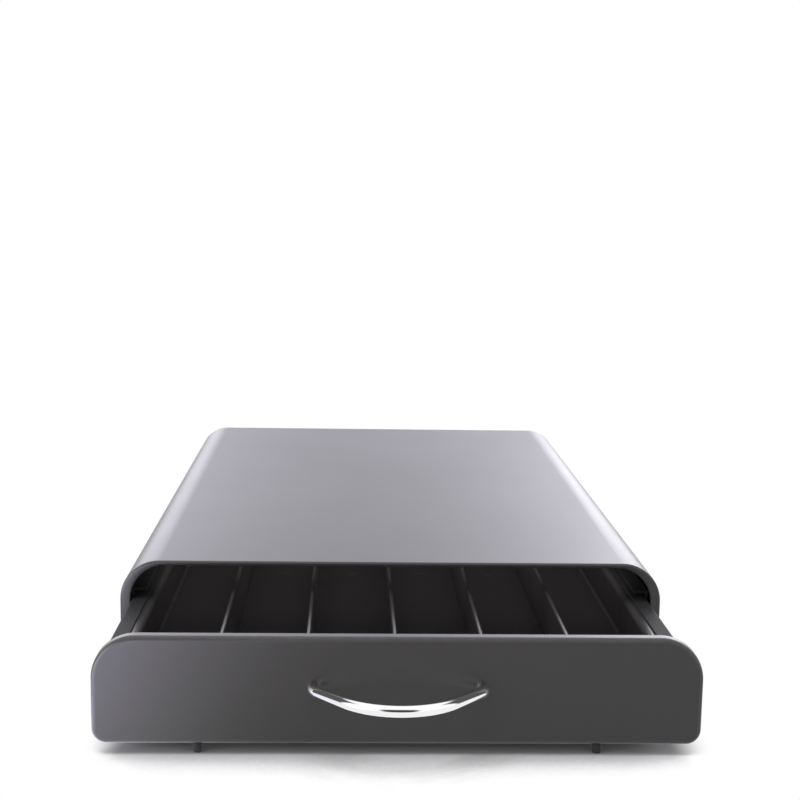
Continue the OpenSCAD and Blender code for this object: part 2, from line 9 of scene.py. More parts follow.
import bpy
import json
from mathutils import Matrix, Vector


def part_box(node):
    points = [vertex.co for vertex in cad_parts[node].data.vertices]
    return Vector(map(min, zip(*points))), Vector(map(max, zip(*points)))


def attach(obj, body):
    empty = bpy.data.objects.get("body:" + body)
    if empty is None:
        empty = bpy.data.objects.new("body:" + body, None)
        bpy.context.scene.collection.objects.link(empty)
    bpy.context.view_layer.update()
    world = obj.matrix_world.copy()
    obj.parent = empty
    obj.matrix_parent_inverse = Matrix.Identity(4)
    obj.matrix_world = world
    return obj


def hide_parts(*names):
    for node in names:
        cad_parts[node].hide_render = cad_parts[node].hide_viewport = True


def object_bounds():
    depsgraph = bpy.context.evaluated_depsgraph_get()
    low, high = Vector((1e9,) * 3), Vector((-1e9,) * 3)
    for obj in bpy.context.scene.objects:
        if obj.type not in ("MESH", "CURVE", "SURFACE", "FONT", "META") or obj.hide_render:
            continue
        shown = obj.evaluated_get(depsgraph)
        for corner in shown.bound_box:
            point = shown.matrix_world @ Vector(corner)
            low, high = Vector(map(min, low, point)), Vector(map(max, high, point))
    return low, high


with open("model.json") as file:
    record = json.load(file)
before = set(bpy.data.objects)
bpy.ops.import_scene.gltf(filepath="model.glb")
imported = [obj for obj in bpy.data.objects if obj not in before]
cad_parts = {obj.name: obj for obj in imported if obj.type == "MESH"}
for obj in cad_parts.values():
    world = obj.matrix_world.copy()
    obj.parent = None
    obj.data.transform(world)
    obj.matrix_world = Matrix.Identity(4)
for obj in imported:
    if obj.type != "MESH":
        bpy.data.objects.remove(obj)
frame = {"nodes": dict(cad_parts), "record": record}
cad_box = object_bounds()

# %% [markdown]
# Sheet-metal drawings are in millimetres and Blender works in metres, so the sizes below are
# millimetres and one factor turns them into metres at the very end. Places come from the boxes
# of the measured parts, which keeps each new surface on the part that it dresses.

# %% Millimetres, and the boxes of the parts
import json
import math

import bmesh
import bpy
import numpy as np
from mathutils import Matrix

MM = 0.001


def box_mm(node):
    """Lowest and highest corner of a part, in millimetres."""
    low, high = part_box(node)
    return np.array(low) / MM, np.array(high) / MM


cover_low, cover_high = box_mm("housing_cover")
front_low, front_high = box_mm("drawer_front")
tray_low, tray_high = box_mm("drawer_tray")
handle_low, handle_high = box_mm("handle_bow")
sheet = 1.2
print("housing", cover_high - cover_low, "drawer front", front_high - front_low)

# %% [markdown]
# The camera stands in front and a little above, slightly left of the middle, as someone would
# look at a drawer on a counter. A camera looks along its own -Z with +Y up, so its turn is
# built from three directions: right, up and forward.

# %% Camera
camera_place = np.array([-22.46, -817.85, 244.15])
camera_lens = 63.0
yaw, pitch, roll = 0.0359, 0.1515, 0.0166

level = np.array([math.cos(yaw), -math.sin(yaw), 0.0])
forward = np.array([math.sin(yaw) * math.cos(pitch), math.cos(yaw) * math.cos(pitch),
                    -math.sin(pitch)])
upright = np.cross(level, forward)
right = math.cos(roll) * level + math.sin(roll) * upright
up = math.cos(roll) * upright - math.sin(roll) * level

camera_data = bpy.data.cameras.new("camera")
camera_data.lens = camera_lens
camera_data.sensor_width = 36.0
camera_data.clip_start = 0.01
camera = bpy.data.objects.new("camera", camera_data)
bpy.context.scene.collection.objects.link(camera)
turn = Matrix(np.column_stack([right, up, -forward]).tolist()).to_4x4()
camera.matrix_world = Matrix.Translation(camera_place * MM) @ turn
bpy.context.scene.camera = camera
print("camera distance to the drawer front:", round(front_low[1] - camera_place[1]), "mm")

# %% [markdown]
# Light and finishes are node trees, and nearly every node in them is a sum or product, a ramp
# from one number to another, or a mix of two colours or shaders. A short function writes each of
# them, and takes sockets and plain numbers alike.

# %% Short ways to write node trees
scene = bpy.context.scene
scene.view_settings.view_transform = "Standard"


def feed(tree, socket, value):
    """Gives a socket a plain value, or joins another socket to it."""
    if isinstance(value, bpy.types.NodeSocket):
        tree.links.new(value, socket)
    elif isinstance(value, tuple):
        socket.default_value = (*value, 1)
    else:
        socket.default_value = value


def math_node(tree, operation, *values, clamp=False):
    """One Math node."""
    node = tree.nodes.new("ShaderNodeMath")
    node.operation = operation
    node.use_clamp = clamp
    for socket, value in zip(node.inputs, values):
        feed(tree, socket, value)
    return node.outputs[0]


def ramp(tree, value, start, end, at_start, at_end, kind="SMOOTHSTEP"):
    """Goes from at_start to at_end while value goes from start to end, and stays there."""
    node = tree.nodes.new("ShaderNodeMapRange")
    node.interpolation_type = kind
    for socket, number in zip(node.inputs, (value, start, end, at_start, at_end)):
        feed(tree, socket, number)
    return node.outputs["Result"]


def product(tree, value, *others):
    """The value times all the others, in their order."""
    for other in others:
        value = math_node(tree, "MULTIPLY", value, other)
    return value


def between(tree, share, first, second):
    """The first number where share is 0, and the second where it is 1."""
    return ramp(tree, share, 0.0, 1.0, first, second, "LINEAR")


def blend(tree, share, first, second):
    """The first colour, and more of the second as share goes from 0 to 1."""
    node = tree.nodes.new("ShaderNodeMix")
    node.data_type = "RGBA"
    for place, value in ((0, share), (6, first), (7, second)):
        feed(tree, node.inputs[place], value)
    return node.outputs[2]


def mix_shaders(tree, share, first, second):
    """The first shader where share is 0, and the second where it is 1."""
    node = tree.nodes.new("ShaderNodeMixShader")
    for socket, value in zip(node.inputs, (share, first, second)):
        feed(tree, socket, value)
    return node.outputs["Shader"]


def split(tree, space):
    """X, Y and Z of a texture coordinate, and the coordinate itself."""
    place = tree.nodes.new("ShaderNodeTexCoord").outputs[space]
    node = tree.nodes.new("ShaderNodeSeparateXYZ")
    feed(tree, node.inputs["Vector"], place)
    return [node.outputs[letter] for letter in "XYZ"] + [place]


print("colours are shown by the view transform", scene.view_settings.view_transform)

# %% [markdown]
# A black coat has hardly any colour of its own: what it shows is the room around it, so the
# room is kept plain. The camera sees it white. The deck mirrors the part behind the unit, which
# is white with a little more light from both sides, and the drawer front mirrors the dimmer
# part before it. Chrome is the only finish without any roughness, and a ray that left it is a
# singular one. Those rays meet a room of their own: bright in front and above, dim beside the
# unit, and dark where someone stands and looks.

# %% World
ambient_light = 0.72
front_room, back_room = 0.4, 0.82
back_tint = (0.985, 0.975, 1.08)
glow_rise, glow_most = 26.0, 0.85
glow_start, glow_full = 0.80, 0.93
chrome_lit, chrome_dim, viewer_dim = 1.15, 0.1, 0.06
front_full, front_end = -0.2, -0.02
top_start, top_full = 0.7, 0.85
viewer = (0.0, -0.94, 0.34)
viewer_rim, viewer_core = 0.86, 0.94

world = bpy.data.worlds.new("white_room")
world.use_nodes = True
scene.world = world
air = world.node_tree
path = air.nodes.new("ShaderNodeLightPath").outputs
x, y, z, direction = split(air, "Generated")

side_glow = math_node(air, "MINIMUM", product(air, x, x, glow_rise), glow_most)
side_glow = product(air, side_glow, ramp(air, y, glow_start, glow_full, 0.0, 1.0))
front_to_back = ramp(air, y, -1.0, 1.0, front_room, back_room, "LINEAR")
mirrored = math_node(air, "ADD", front_to_back, side_glow)

lit = math_node(air, "MAXIMUM", ramp(air, y, front_full, front_end, 1.0, 0.0),
                ramp(air, z, top_start, top_full, 0.0, 1.0))
facing = air.nodes.new("ShaderNodeVectorMath")
facing.operation = "DOT_PRODUCT"
feed(air, facing.inputs[0], direction)
facing.inputs[1].default_value = viewer
someone = ramp(air, facing.outputs["Value"], viewer_rim, viewer_core, 1.0, viewer_dim)
in_chrome = product(air, ramp(air, lit, 0.0, 1.0, chrome_dim, chrome_lit), someone)
mirrored = between(air, path["Is Singular Ray"], mirrored, in_chrome)

glossy_or_camera = math_node(air, "MAXIMUM", path["Is Glossy Ray"], path["Is Camera Ray"])
seen = between(air, path["Is Camera Ray"], mirrored, 1.0)
sky = air.nodes["Background"].inputs
feed(air, sky["Strength"], between(air, glossy_or_camera, ambient_light, seen))
bluish = math_node(air, "SUBTRACT", ramp(air, y, 0.0, 1.0, 0.0, 1.0), path["Is Camera Ray"],
                   clamp=True)
feed(air, sky["Color"], blend(air, bluish, (1.0, 1.0, 1.0), back_tint))
print("nodes in the world:", len(air.nodes))

# %% [markdown]
# Four soft lamps help the room. One hangs above, so that light falls into the open drawer. A
# wide one stands low behind the right of the deck, where it draws a bright line along the bend.
# A small one lightens the left of the drawer front. The fourth is faint and hangs under the deck,
# inside the housing. It stands in for the light that a full drawer scatters about in there. The
# lamps above and inside light every surface but are mirrored in none, because the handle would
# throw the upper one back on the drawer front as a pale spot.

# %% Lamps


def soft_lamp(name, place, aim, size, power):
    """A square area lamp at place, turned so that its -Z looks at aim. Lengths in metres."""
    data = bpy.data.lights.new(name, "AREA")
    data.shape = "SQUARE"
    data.size = size
    data.energy = power
    lamp = bpy.data.objects.new(name, data)
    scene.collection.objects.link(lamp)
    away = np.array(place) - np.array(aim)
    away = away / np.linalg.norm(away)
    across = np.cross([0.0, 0.0, 1.0], away)
    across = across / np.linalg.norm(across)
    turn = Matrix(np.column_stack([across, np.cross(away, across), away]).tolist()).to_4x4()
    lamp.matrix_world = Matrix.Translation(place) @ turn
    print(name, "stands", round(float(np.linalg.norm(place)), 2), "m away")
    return lamp


above = soft_lamp("top_lamp", (-0.3, -0.4, 1.5), (0.0, 0.0, 0.05), 1.0, 20.0)
soft_lamp("back_lamp", (1.0, 1.55, 0.55), (0.05, 0.10, 0.05), 1.2, 3.2)
soft_lamp("left_lamp", (-0.46, -0.50, 0.10), (-0.12, -0.24, 0.03), 0.30, 0.8)
inside = soft_lamp("inside_lamp", (0.0, 0.02, 0.050), (0.0, 0.021, 0.0), 0.25, 0.24)
above.visible_glossy = inside.visible_glossy = False

# %% [markdown]
# The counter is a plain pale plane, and the camera sees it as plain white, so it has no horizon.
# Only where the unit shuts out the sky does it show the light that really falls on it, and there
# its colour is painted darker as well, so the shadow is partly real shade and partly painted
# shadow. How open the sky is comes from the share of directions in which nothing stands near,
# so the shadow also follows the drawer when it slides. What the drawer front mirrors is the
# counter just before it, and there the counter has a painted glow, brighter and a little blue at
# the left, which the front shows as a painted reflection.
# Seen from below the counter is clear, and the underside of the unit can be looked at.

# %% Counter
near, closed_sky, open_sky, sky_rays = 0.05, 0.58, 0.74, 16
shaded_half_w, fade_length = 0.120, 0.021
painted_shadow_colour, plain_counter = (0.45, 0.45, 0.46), (0.86, 0.86, 0.87)
counter_roughness = 0.6
painted_glow_from, painted_glow_to, painted_glow_end, painted_glow_fade = -0.16, -0.04, -0.24, 0.04
painted_glow_light, painted_glow_rest = 2.5, 0.45
painted_glow_tint = (0.95, 0.93, 1.16)


def counter_material():
    """A matt white, painted darker where the unit shuts out the sky, that turns into plain white
    under an open sky, and a painted glow in reflections.
    """
    material = bpy.data.materials.new("counter")
    material.use_nodes = True
    tree = material.node_tree
    path = tree.nodes.new("ShaderNodeLightPath").outputs
    x, y, _, _ = split(tree, "Object")
    sky_seen = tree.nodes.new("ShaderNodeAmbientOcclusion")
    sky_seen.samples = sky_rays
    sky_seen.inputs["Distance"].default_value = near
    beside_unit = ramp(tree, math_node(tree, "ABSOLUTE", x), shaded_half_w,
                       shaded_half_w + fade_length, 0.0, 1.0)
    fade = math_node(tree, "MAXIMUM", beside_unit,
                     ramp(tree, sky_seen.outputs["AO"], closed_sky, open_sky, 0.0, 1.0))
    matt = tree.nodes["Principled BSDF"]
    matt.inputs["Roughness"].default_value = counter_roughness
    # painted shadow: the colour goes darker, to the shaded colour, where the unit shuts out the
    # sky
    feed(tree, matt.inputs["Base Color"], blend(tree, fade, painted_shadow_colour, plain_counter))

    # painted glow: in reflections the counter glows, brightest and bluest at the left before the
    # drawer front
    beside = ramp(tree, x, painted_glow_from, painted_glow_to, 1.0, 0.0, "LINEAR")
    before = ramp(tree, y, painted_glow_end, painted_glow_end + painted_glow_fade, 1.0, 0.0)
    before = product(tree, before, path["Is Glossy Ray"])
    painted_glow = product(tree, beside, beside, before)
    mirrored = math_node(tree, "MULTIPLY_ADD", painted_glow, painted_glow_light, painted_glow_rest)
    mirrored = between(tree, path["Is Singular Ray"], mirrored, 1.0)
    glow = tree.nodes.new("ShaderNodeEmission")
    feed(tree, glow.inputs["Strength"], between(tree, path["Is Glossy Ray"], 1.0, mirrored))
    feed(tree, glow.inputs["Color"], blend(tree, painted_glow, (1.0, 1.0, 1.0), painted_glow_tint))

    plain = product(tree, fade, path["Is Camera Ray"])
    glowing = math_node(tree, "MAXIMUM", plain, path["Is Glossy Ray"])
    from_above = mix_shaders(tree, glowing, matt.outputs["BSDF"], glow.outputs["Emission"])
    from_below = tree.nodes.new("ShaderNodeNewGeometry").outputs["Backfacing"]
    clear = tree.nodes.new("ShaderNodeBsdfTransparent").outputs["BSDF"]
    feed(tree, tree.nodes["Material Output"].inputs["Surface"],
         mix_shaders(tree, from_below, from_above, clear))
    return material


half_counter = 6.0
counter_mesh = bpy.data.meshes.new("counter")
counter_mesh.from_pydata([(-half_counter, -half_counter, 0), (half_counter, -half_counter, 0),
                          (half_counter, half_counter, 0), (-half_counter, half_counter, 0)],
                         [], [(0, 1, 2, 3)])
counter_mesh.materials.append(counter_material())
counter = bpy.data.objects.new("counter", counter_mesh)
scene.collection.objects.link(counter)
print("counter nodes:", len(counter_mesh.materials[0].node_tree.nodes))

# %% [markdown]
# ## Effects that several finishes share
#
# Powder coat, moulded nylon and rubber all have a fine unevenness, only at different sizes, and
# all of them are lighter on their edges, partly worn by hands and a thin coat there and partly as
# a painted highlight. Each effect is one node group with named sockets, placed in every finish
# with its own numbers. The grain is two layers of noise, a broad one and a fine one, and the
# edge wear with its painted highlight is a mask made from the piece's edges.

# %% Node groups: grain, and edge wear with a painted highlight
fine_per_broad, fine_share = 3.7, 0.33
mottle_waves, wear_sheen_waves = 14.0, 260.0


def new_group(name, inputs, outputs):
    """An empty shader group with float or vector inputs and float outputs."""
    group = bpy.data.node_groups.new(name, "ShaderNodeTree")
    for label, kind, value in inputs:
        socket = group.interface.new_socket(label, in_out="INPUT", socket_type=kind)
        if value is not None:
            socket.default_value = value
    for label in outputs:
        group.interface.new_socket(label, in_out="OUTPUT", socket_type="NodeSocketFloat")
    return group, group.nodes.new("NodeGroupInput"), group.nodes.new("NodeGroupOutput")


def noise(tree, place, scale, detail=2.0, roughness=0.5):
    """A noise value between 0 and 1 at a place, with a scale in waves per metre."""
    node = tree.nodes.new("ShaderNodeTexNoise")
    for label, value in (("Vector", place), ("Scale", scale), ("Detail", detail),
                         ("Roughness", roughness)):
        feed(tree, node.inputs[label], value)
    return node.outputs["Fac"]


def grain_group():
    """Height is a broad wave plus a third of a fine one. Mottle is a slow drift over the piece."""
    group, given, made = new_group(
        "grain", [("Place", "NodeSocketVector", None), ("Size", "NodeSocketFloat", 0.001)],
        ["Height", "Mottle"])
    place = given.outputs["Place"]
    per_metre = math_node(group, "DIVIDE", 1.0, given.outputs["Size"])
    broad = noise(group, place, per_metre)
    fine = noise(group, place, product(group, per_metre, fine_per_broad), detail=3.0)
    feed(group, made.inputs["Height"], math_node(group, "MULTIPLY_ADD", fine, fine_share, broad))
    mottle = noise(group, place, mottle_waves, detail=4.0, roughness=0.6)
    feed(group, made.inputs["Mottle"], mottle)
    return group


def wear_sheen_group():
    """Mask is the edge value, broken up by noise and scaled by Amount. It marks edge wear and a
    painted highlight.
    """
    group, given, made = new_group(
        "edge_wear_and_sheen", [("Place", "NodeSocketVector", None), ("Edge", "NodeSocketFloat", 0.0),
                         ("Amount", "NodeSocketFloat", 0.5)], ["Mask"])
    patches = noise(group, given.outputs["Place"], wear_sheen_waves, detail=5.0, roughness=0.65)
    broken = product(group, given.outputs["Edge"], patches)
    mask = math_node(group, "MULTIPLY", broken, given.outputs["Amount"], clamp=True)
    feed(group, made.inputs["Mask"], mask)
    return group


groups = {"grain": grain_group(), "wear_sheen": wear_sheen_group()}
print("groups:", ", ".join(g.name for g in groups.values()))

# %% [markdown]
# ## Finishes
#
# A finish is a Principled BSDF fed by those groups. Its plain numbers stand on the shader's own
# sockets, and only what changes over the surface comes through nodes. Metre-based Object
# coordinates keep the grain the same size on a wide panel and on a small foot.

# %% One function that builds a finish
mottle_low, mottle_high = 0.3, 0.7


def place_group(tree, group, **values):
    """Puts a group in a material. Values are numbers or sockets, named after its inputs."""
    node = tree.nodes.new("ShaderNodeGroup")
    node.node_tree = group
    for label, value in values.items():
        feed(tree, node.inputs[label], value)
    return node


def finish(name, colour, wear_sheen_colour, roughness, spread, grain, height, wear_sheen=0.5, metallic=0.0, **own):
    """A Principled finish: colour goes to the lighter edge colour on edges, for wear and as a
    painted highlight, roughness drifts by spread, and grain and height are the size and depth of
    its unevenness in metres."""
    material = bpy.data.materials.new(name)
    material.use_nodes = True
    tree = material.node_tree
    shader = tree.nodes["Principled BSDF"]
    shader.inputs["Metallic"].default_value = metallic
    for label, value in own.items():
        shader.inputs[label.replace("_", " ")].default_value = value
    place = tree.nodes.new("ShaderNodeTexCoord").outputs["Object"]
    edge = tree.nodes.new("ShaderNodeAttribute")
    edge.attribute_name = "edge"
    fine = place_group(tree, groups["grain"], Place=place, Size=grain)
    wear_sheen_node = place_group(tree, groups["wear_sheen"], Place=place, Edge=edge.outputs["Fac"], Amount=wear_sheen)
    # painted highlight and wear: the base colour goes lighter on edges, in noisy patches
    feed(tree, shader.inputs["Base Color"], blend(tree, wear_sheen_node.outputs["Mask"], colour, wear_sheen_colour))
    feed(tree, shader.inputs["Roughness"],
         ramp(tree, fine.outputs["Mottle"], mottle_low, mottle_high, roughness - spread,
              roughness + spread, "LINEAR"))
    bump = tree.nodes.new("ShaderNodeBump")
    bump.inputs["Distance"].default_value = height
    bump.inputs["Strength"].default_value = 1.0
    feed(tree, bump.inputs["Height"], fine.outputs["Height"])
    feed(tree, shader.inputs["Normal"], bump.outputs["Normal"])
    return material


print("roughness drifts where the mottle lies between", mottle_low, "and", mottle_high)

# %% [markdown]
# The housing and drawer wear a satin black powder coat. The powder melts into a skin with a
# faint orange peel, a little lighter where it thins over a sheet edge, and that lighter edge is
# also a painted highlight. The handle is chrome: nearly all mirror, with only a breath of
# unevenness from polishing.

# %% The finishes, one for each slot of the record
finishes = {
    "black_powder_coat": finish(
        "satin_black_coat", (0.0285, 0.0258, 0.0266), (0.08, 0.076, 0.077), roughness=0.30,
        spread=0.02, grain=0.0011, height=0.000006, Coat_Weight=0.7, Coat_Roughness=0.28),
    "chrome": finish(
        "polished_chrome", (0.88, 0.87, 0.87), (0.90, 0.90, 0.90), roughness=0.0,
        spread=0.0, grain=0.004, height=0.000001, metallic=1.0),
    "black_rubber": finish(
        "moulded_rubber", (0.018, 0.018, 0.018), (0.05, 0.05, 0.05), roughness=0.72,
        spread=0.06, grain=0.0007, height=0.00002),
    "black_nylon": finish(
        "moulded_nylon", (0.018, 0.018, 0.019), (0.05, 0.05, 0.05), roughness=0.55,
        spread=0.05, grain=0.0009, height=0.000008, Specular_IOR_Level=0.3),
    "black_plastic": finish(
        "extruded_plastic", (0.020, 0.020, 0.022), (0.06, 0.06, 0.06), roughness=0.48,
        spread=0.05, grain=0.0016, height=0.00001, Specular_IOR_Level=0.35),
    "zinc_steel": finish(
        "zinc_plated_steel", (0.62, 0.62, 0.60), (0.78, 0.78, 0.76), roughness=0.34,
        spread=0.05, grain=0.0008, height=0.000008, metallic=1.0),
}
slot_of = {part["node"]: part["material_slot"] for part in frame["record"]["subparts"]}
body_of = {node: body for body, nodes in frame["record"]["behaviour"]["bodies"].items()
           for node in nodes}
for node, thing in frame["nodes"].items():
    thing.data.materials.clear()
    thing.data.materials.append(finishes[slot_of[node]])
print("finishes:", ", ".join(m.name for m in finishes.values()))

# %% [markdown]
# ## Surfaces from numbers
#
# A press brake bends sheet along straight lines, so every section of this object is a line of
# straight stretches joined by arcs. That one idea, the bent line, draws the housing's arch, the
# tray, the dividers, the rails and even the path of the handle.

# %% A line with round bends
small_bend, small_step, wide_step = 4, 15.0, 5.0
same_point = 1e-5


def left_of(direction):
    """The direction turned a quarter turn to the left."""
    return np.stack([-direction[..., 1], direction[..., 0]], axis=-1)


def bent_line(corners, radii, closed=False, guard=0.12):
    """Points along straight stretches joined by arcs, and the direction to the left of each.

    An arc of radius r that turns by an angle a starts r * tan(a / 2) before its corner. Its
    centre lies r to the side that it turns to, and its points are the centre minus r times the
    left direction, turned through each angle from 0 to a. A guard point just outside an arc
    keeps the flat stretch beside it flat when the surface is shaded smooth. A sharp corner gets
    the mean of its two left directions, lengthened so that an offset keeps its distance.
    """
    corners = np.asarray(corners, float)
    ahead = np.roll(corners, -1, axis=0) - corners
    length = np.linalg.norm(ahead, axis=1)
    ahead = ahead / length[:, None]
    behind = np.roll(ahead, 1, axis=0)
    if not closed:
        behind[0] = ahead[0]
        ahead[-1] = behind[-1]
    turns = np.arctan2(behind[:, 0] * ahead[:, 1] - behind[:, 1] * ahead[:, 0],
                       (behind * ahead).sum(1))
    reach = np.asarray(radii) * np.tan(abs(turns) / 2)
    free = (length - reach - np.roll(reach, -1)) / 3
    points, lefts = [], []
    for k, (corner, radius, turn_by) in enumerate(zip(corners, radii, turns)):
        if radius == 0:
            lean = left_of(behind[k]) + left_of(ahead[k])
            points.append(corner[None])
            lefts.append((lean / (1 + left_of(behind[k]) @ left_of(ahead[k])))[None])
            continue
        step = small_step if radius < small_bend else wide_step
        count = max(2, math.ceil(abs(math.degrees(turn_by)) / step))
        angle = np.linspace(0, turn_by, count + 1)[:, None]
        heading = behind[k] * np.cos(angle) + left_of(behind[k]) * np.sin(angle)
        side = math.copysign(radius, turn_by)
        centre = corner - reach[k] * behind[k] + side * left_of(behind[k])
        arc = centre - side * left_of(heading)
        before = arc[0] - min(guard, free[k - 1]) * behind[k]
        after = arc[-1] + min(guard, free[k]) * ahead[k]
        points.append(np.vstack([before, arc, after]))
        lefts.append(left_of(np.vstack([behind[k], heading, ahead[k]])))
    points, lefts = np.vstack(points), np.vstack(lefts)
    moved = np.linalg.norm(np.diff(points, axis=0), axis=1) > same_point
    keep = np.concatenate([[True], moved])
    return points[keep], lefts[keep]


def sheet_loop(corners, radii, thickness=sheet):
    """The closed section of a bent sheet: the bent line, the same line moved to its left by the
    thickness, and a half circle round each sheet edge."""
    line, lefts = bent_line(corners, radii)
    half = thickness / 2
    angle = np.linspace(0, math.pi, 7)[1:-1, None]

    def rounded_end(k, outwards):
        centre = line[k] + half * lefts[k]
        return centre + half * (-lefts[k] * np.cos(angle) + outwards * np.sin(angle))

    out_of_end = np.array([lefts[-1][1], -lefts[-1][0]])
    out_of_start = -np.array([lefts[0][1], -lefts[0][0]])
    return np.vstack([line, rounded_end(-1, out_of_end), (line + thickness * lefts)[::-1],
                      rounded_end(0, out_of_start)[::-1]])


test_line, _ = bent_line([(0, 0), (10, 0), (10, 10)], [0, 3, 0])
print("a right-angle bend has", len(test_line), "points")

# %% [markdown]
# A closed shape is a skin over rows of points, where each row is a ring and the first and last
# ring are capped. Edges get a number too: where the faces round a point look different ways,
# their mean normal is short, and that shortness marks where wear goes first and where a painted
# highlight lies.

# %% Rows of points to a finished piece
edge_scale = 110
merge_distance = 1e-8


def skin(rows, closed=False):
    """Vertices and faces over rows[i, j]: step i along the shape, step j round the ring."""
    index = np.arange(rows.shape[0] * rows.shape[1]).reshape(rows.shape[:2])
    lower, upper = (index, np.roll(index, -1, axis=0)) if closed else (index[:-1], index[1:])
    quads = np.stack([lower, np.roll(lower, -1, axis=1), np.roll(upper, -1, axis=1), upper], -1)
    faces = quads.reshape(-1, 4).tolist()
    if not closed:
        faces += [index[0, ::-1].tolist(), index[-1].tolist()]
    return rows.reshape(-1, 3), faces


def mark_edges(mesh):
    """Stores edge = edge_scale * (1 - |mean of the face normals round each point|), which is
    about 1 on a tight bend and never more."""
    corners = np.zeros(len(mesh.loops), np.int32)
    mesh.loops.foreach_get("vertex_index", corners)
    normals = np.zeros(len(mesh.polygons) * 3)
    mesh.polygons.foreach_get("normal", normals)
    sides = np.zeros(len(mesh.polygons), np.int32)
    mesh.polygons.foreach_get("loop_total", sides)
    spread = np.repeat(normals.reshape(-1, 3), sides, axis=0)
    total = np.stack([np.bincount(corners, spread[:, k], len(mesh.vertices)) for k in range(3)], 1)
    count = np.maximum(np.bincount(corners, minlength=len(mesh.vertices)), 1)
    shortness = 1 - np.linalg.norm(total / count[:, None], axis=1)
    attribute = mesh.attributes.new("edge", "FLOAT", "POINT")
    attribute.data.foreach_set("value", np.clip(shortness * edge_scale, 0, 1).astype(np.float32))


def make_piece(name, skins, like, stands_for=None, sharp=42):
    """Joins skins into one piece, in metres, with the body and slot of the part named by like."""
    starts = np.cumsum([0] + [len(points) for points, _ in skins])
    faces = [[int(v) + int(start) for v in face]
             for start, (_, own) in zip(starts, skins) for face in own]
    mesh = bpy.data.meshes.new(name)
    mesh.from_pydata(np.vstack([points for points, _ in skins]) * MM, [], faces)
    work = bmesh.new()
    work.from_mesh(mesh)
    bmesh.ops.remove_doubles(work, verts=work.verts, dist=merge_distance)
    bmesh.ops.recalc_face_normals(work, faces=work.faces)
    work.to_mesh(mesh)
    work.free()
    mesh.shade_smooth()
    mesh.set_sharp_from_angle(angle=math.radians(sharp))
    mark_edges(mesh)
    mesh.materials.append(finishes[slot_of[like]])
    piece = bpy.data.objects.new(name, mesh)
    scene.collection.objects.link(piece)
    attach(piece, body_of[like])
    if stands_for is None or stands_for:
        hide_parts(*(stands_for or [like]))
    print(f"{name}: {len(mesh.polygons)} faces")
    return piece


print("pieces can take the slots", ", ".join(sorted(set(slot_of.values()))))

# %% [markdown]
# The rows come in a few kinds. An extrusion is one section at several depths, a turned part is
# circles of changing radius, and a bent or pressed sheet is an outline that moves inwards.

# %% Extruded, inset and turned rows


def extrude(section, low, high, along=1, guard=0.3):
    """Rows that carry a section straight along Y (1) or X (0), with guard rows near both ends.
    The section is in X and Z, or in Y and Z."""
    depths = np.array([low, low + guard, high - guard, high])
    rows = np.empty((len(depths), len(section), 3))
    rows[..., 1 - along] = section[:, 0]
    rows[..., along] = depths[:, None]
    rows[..., 2] = section[:, 1]
    return rows


def inset_rows(line, outwards, inset, depth):
    """Rows whose X and Z are line - outwards * inset, and whose Y is depth."""
    across = line - outwards * inset[..., None]
    return np.stack([across[..., 0], np.broadcast_to(depth, across.shape[:2]), across[..., 1]], -1)


def block(low, high):
    """A plain box between two corners."""
    section = np.array([(low[0], low[2]), (high[0], low[2]), (high[0], high[2]),
                        (low[0], high[2])])
    return extrude(section, low[1], high[1], guard=(high[1] - low[1]) / 4)


def turned(profile, place, axis, around=32, shape=None):
    """Rings round an axis: each (radius, height) of the profile becomes a circle of that radius
    at that height. A shape may change the local points, which are x, y and height."""
    profile = np.asarray(profile, float)
    angle = np.linspace(0, 2 * math.pi, around, endpoint=False)
    local = np.empty((len(profile), around, 3))
    local[..., 0] = profile[:, :1] * np.cos(angle)
    local[..., 1] = profile[:, :1] * np.sin(angle)
    local[..., 2] = profile[:, 1:]
    if shape is not None:
        local = shape(local)
    axis = np.asarray(axis, float)
    side = np.array([1.0, 0.0, 0.0])
    return np.asarray(place) + local @ np.stack([side, np.cross(axis, side), axis])


UP, DOWN, FORWARD, BACK = (0, 0, 1), (0, 0, -1), (0, -1, 0), (0, 1, 0)
print("a plain box has", len(skin(block((0, 0, 0), (1, 1, 1)))[1]), "faces")

# %% [markdown]
# ## The housing cover
#
# One sheet makes the deck, both sides and the narrow flanges at the mouth, the floor and the
# rear. Two sections describe it: the arch seen from the front, and the sheet's own path from
# the rear flange over the deck to the mouth. At every point of the arch the second section is
# laid along the direction that points inwards, so the bends come out true on all sides at once.
# The lip at the mouth is wide on the sides and hardly wider than the sheet under the deck. How
# wide it is follows from a line that goes inwards until it meets the mouth's own arch.

# %% Housing cover
half_w, back_y, deck_z = cover_high
_, mouth_y, cover_foot = cover_low
deck_bend, low_bend = 20.0, 2.5
mouth_lip, mouth_bend, top_lip = 4.6, 19.0, 1.5
floor_flange, rear_flange = 14.0, 10.0
floor_flange_y = box_mm("base_plate")[0][1]
edge_bend = 1.1
rear_bend = edge_bend + 0.4
floor_slope = 0.75


def cover_section(lip, rear, start):
    """The sheet's closed path in (inwards, Y): a lip at the mouth, the skin, a rear flange."""
    return sheet_loop([(rear, back_y), (0, back_y), (0, start), (lip, start)],
                      [0, rear_bend, edge_bend, 0])


